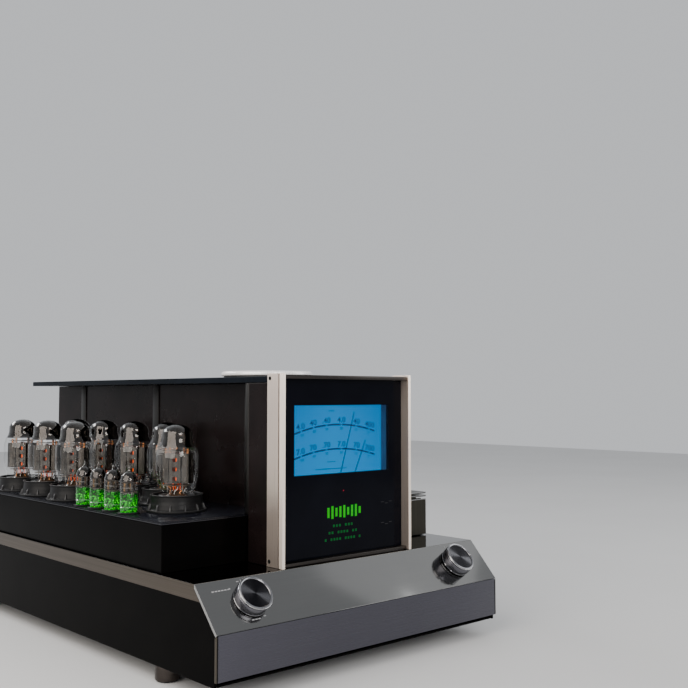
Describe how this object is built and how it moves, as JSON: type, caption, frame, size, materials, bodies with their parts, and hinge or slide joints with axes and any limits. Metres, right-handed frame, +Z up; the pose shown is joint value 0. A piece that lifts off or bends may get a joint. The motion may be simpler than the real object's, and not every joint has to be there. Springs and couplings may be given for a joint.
{
  "type": "vacuum tube power amplifier",
  "caption": "Single-channel tube power amplifier: bevelled chassis with two rotary controls, glass-fronted meter tower, output tubes on a side platform and a finned heat sink.",
  "frame": {"origin": "centre of the footprint, on the surface that the feet stand on", "axes": "+Z up, the front panel faces -Y, +X is to the right seen from the front"},
  "size_m": [0.4444, 0.7404, 0.3462],
  "materials": {
    "black_paint": "gloss black",
    "titanium": "satin",
    "blue_steel": "satin",
    "mirror_deck": "mirror polished",
    "champagne": "satin anodised",
    "dark_rail": "satin anodised",
    "foot_metal": "satin",
    "knob_metal": "polished dark anodised",
    "switch_plastic": "matt",
    "black_glass": "back-painted gloss",
    "window_glass": "clear",
    "meter_case": "matt",
    "dial": "back-lit",
    "needle": "matt",
    "disc": "satin silver",
    "core": "varnished laminations",
    "tube_plate": "dark gloss",
    "guard": "satin dark grey",
    "bulb": "clear glass",
    "fins": "black anodised",
    "terminal_plastic": "satin black",
    "gold": "gold plated"
  },
  "bodies": {
    "chassis": {"bottom_plate": "black_paint", "left_side_panel": "black_paint", "right_side_panel": "black_paint", "rear_panel": "black_paint", "tower_front_box": "black_paint", "spine_housing": "black_paint", "tower_top_cover": "black_paint", "tube_platform": "black_paint", "bevel_panel": "titanium", "front_panel": "blue_steel", "deck": "mirror_deck", "left_post": "champagne", "right_post": "champagne", "top_rail": "dark_rail", "bottom_rail": "dark_rail", "foot_front_left": "foot_metal", "foot_front_right": "foot_metal", "foot_rear_left": "foot_metal", "foot_rear_right": "foot_metal", "meter_switch": "switch_plastic", "power_switch": "switch_plastic", "front_glass": "black_glass", "meter_window": "window_glass", "meter_case": "meter_case", "meter_dial": "dial", "top_disc": "disc", "power_transformer": "core", "output_transformer": "core", "tube_plate": "tube_plate", "tube_guard_1": "guard", "tube_guard_2": "guard", "tube_guard_3": "guard", "tube_guard_4": "guard", "tube_guard_5": "guard", "tube_guard_6": "guard", "tube_guard_7": "guard", "tube_guard_8": "guard", "output_tube_1": "bulb", "output_tube_2": "bulb", "output_tube_3": "bulb", "output_tube_4": "bulb", "output_tube_5": "bulb", "output_tube_6": "bulb", "output_tube_7": "bulb", "output_tube_8": "bulb", "small_tube_1": "bulb", "small_tube_2": "bulb", "small_tube_3": "bulb", "small_tube_4": "bulb", "heat_sink": "fins", "heat_sink_cover": "fins", "output_terminal": "terminal_plastic", "input_socket": "terminal_plastic", "mains_inlet": "terminal_plastic"},
    "meter_knob": {"meter_knob": "knob_metal"},
    "power_knob": {"power_knob": "knob_metal"},
    "upper_needle": {"upper_needle": "needle"},
    "lower_needle": {"lower_needle": "needle"},
    "negative_cap": {"terminal_cap_negative": "gold"},
    "positive_cap": {"terminal_cap_positive": "gold"}
  },
  "joints": [
    {"name": "meter_knob_turn", "type": "hinge", "parent": "chassis", "child": "meter_knob", "pos_m": [-0.165, -0.34536, 0.09664], "axis": [0, -0.7357, 0.6773], "range_deg": [-45, 90]},
    {"name": "power_knob_turn", "type": "hinge", "parent": "chassis", "child": "power_knob", "pos_m": [0.165, -0.34536, 0.09664], "axis": [0, -0.7357, 0.6773], "range_deg": [0, 90]},
    {"name": "upper_needle_swing", "type": "hinge", "parent": "chassis", "child": "upper_needle", "pos_m": [-0.0006, -0.30043, 0.198], "axis": [0, 1, 0], "range_deg": [-58, 28], "stiffness_Nm_per_rad": 0.005},
    {"name": "lower_needle_swing", "type": "hinge", "parent": "chassis", "child": "lower_needle", "pos_m": [0.017, -0.30383, 0.198], "axis": [0, 1, 0], "range_deg": [-87, 29], "stiffness_Nm_per_rad": 0.005},
    {"name": "negative_cap_turn", "type": "hinge", "parent": "chassis", "child": "negative_cap", "pos_m": [0.127, 0.35527, 0.066], "axis": [0, 1, 0], "range_deg": [0, 720]},
    {"name": "positive_cap_turn", "type": "hinge", "parent": "chassis", "child": "positive_cap", "pos_m": [0.173, 0.35527, 0.066], "axis": [0, 1, 0], "range_deg": [0, 720]}
  ]
}
